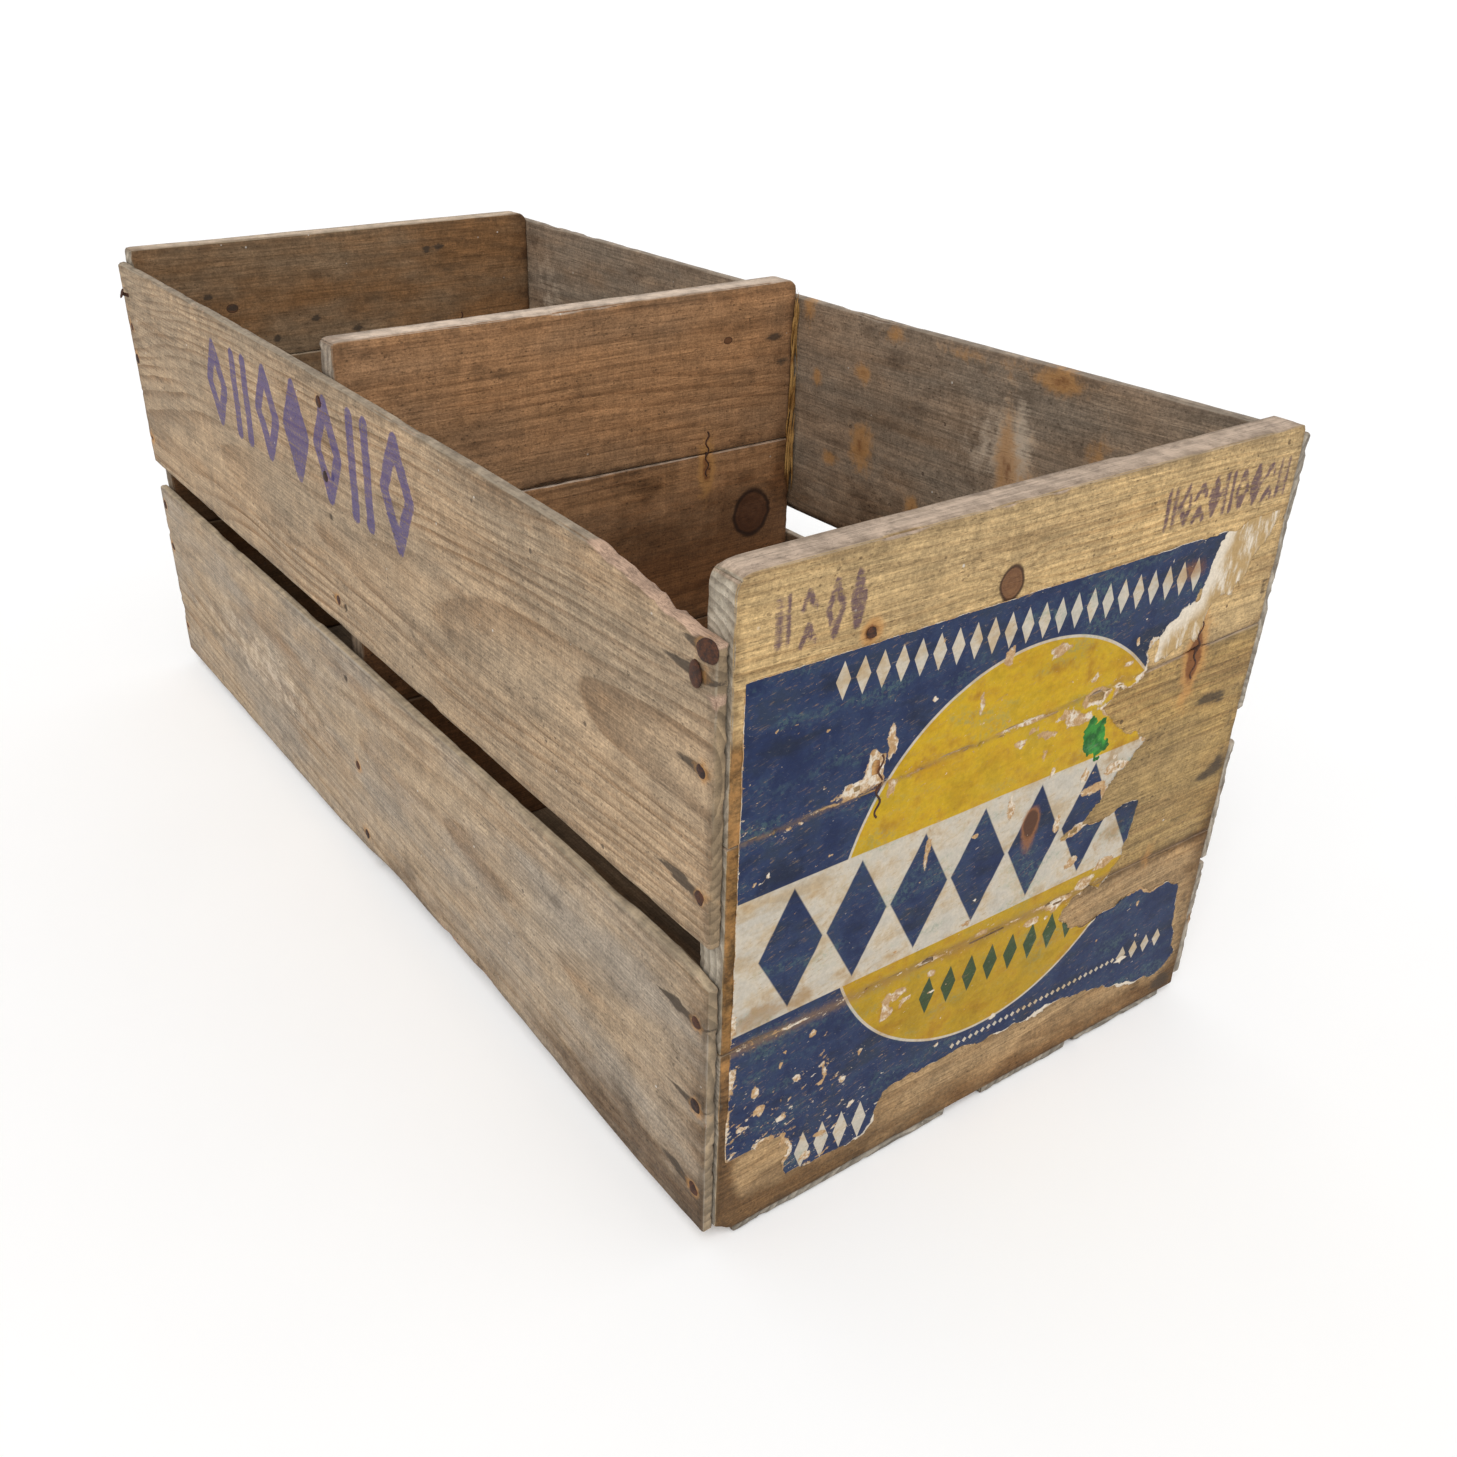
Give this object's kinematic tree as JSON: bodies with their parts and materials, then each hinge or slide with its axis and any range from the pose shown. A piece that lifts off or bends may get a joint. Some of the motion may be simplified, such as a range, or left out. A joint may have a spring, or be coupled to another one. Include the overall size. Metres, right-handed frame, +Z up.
{
  "type": "fruit crate",
  "caption": "Open wooden fruit crate with two compartments, boarded ends and centre divider, nailed side and floor slats, and a torn paper label.",
  "frame": {"origin": "on the ground under the middle of the crate", "axes": "+X across the crate to the right when the labelled end is faced, +Y along its length away from the labelled end, +Z up"},
  "size_m": [0.3176, 0.7006, 0.316],
  "materials": {
    "panel_wood": "worn bare pine",
    "side_wood": "weathered grey pine",
    "floor_wood": "dirty bare pine",
    "rusty_steel": "rusty",
    "label_paper": "printed, scuffed and torn"
  },
  "bodies": {
    "root": {"front_panel_board_top": "panel_wood", "front_panel_board_middle": "panel_wood", "front_panel_board_bottom": "panel_wood", "divider_board_top": "panel_wood", "divider_board_middle": "panel_wood", "divider_board_bottom": "panel_wood", "rear_panel_board_top": "panel_wood", "rear_panel_board_middle": "panel_wood", "rear_panel_board_bottom": "panel_wood", "left_slat_top": "side_wood", "left_slat_bottom": "side_wood", "right_slat_top": "side_wood", "right_slat_middle": "side_wood", "right_slat_bottom": "side_wood", "floor_slat_left": "floor_wood", "floor_slat_centre": "floor_wood", "floor_slat_right": "floor_wood", "corrugated_fastener_front_left": "rusty_steel", "corrugated_fastener_front_right": "rusty_steel", "corrugated_fastener_divider_left": "rusty_steel", "corrugated_fastener_divider_right": "rusty_steel", "corrugated_fastener_rear_left": "rusty_steel", "corrugated_fastener_rear_right": "rusty_steel", "nail_left_front_1": "rusty_steel", "nail_left_front_2": "rusty_steel", "nail_left_front_3": "rusty_steel", "nail_left_front_4": "rusty_steel", "nail_left_front_5": "rusty_steel", "nail_left_front_6": "rusty_steel", "nail_left_front_7": "rusty_steel", "nail_left_divider_1": "rusty_steel", "nail_left_divider_2": "rusty_steel", "nail_left_divider_3": "rusty_steel", "nail_left_divider_4": "rusty_steel", "nail_left_divider_5": "rusty_steel", "nail_left_rear_1": "rusty_steel", "nail_left_rear_2": "rusty_steel", "nail_left_rear_3": "rusty_steel", "nail_left_rear_4": "rusty_steel", "nail_left_rear_5": "rusty_steel", "nail_left_rear_6": "rusty_steel", "nail_right_front_1": "rusty_steel", "nail_right_front_2": "rusty_steel", "nail_right_front_3": "rusty_steel", "nail_right_divider_1": "rusty_steel", "nail_right_divider_2": "rusty_steel", "nail_right_divider_3": "rusty_steel", "nail_right_rear_1": "rusty_steel", "nail_right_rear_2": "rusty_steel", "nail_right_rear_3": "rusty_steel", "nail_floor_front_1": "rusty_steel", "nail_floor_front_2": "rusty_steel", "nail_floor_front_3": "rusty_steel", "nail_floor_divider_1": "rusty_steel", "nail_floor_divider_2": "rusty_steel", "nail_floor_divider_3": "rusty_steel", "nail_floor_rear_1": "rusty_steel", "nail_floor_rear_2": "rusty_steel", "nail_floor_rear_3": "rusty_steel", "paper_label": "label_paper"}
  },
  "joints": []
}
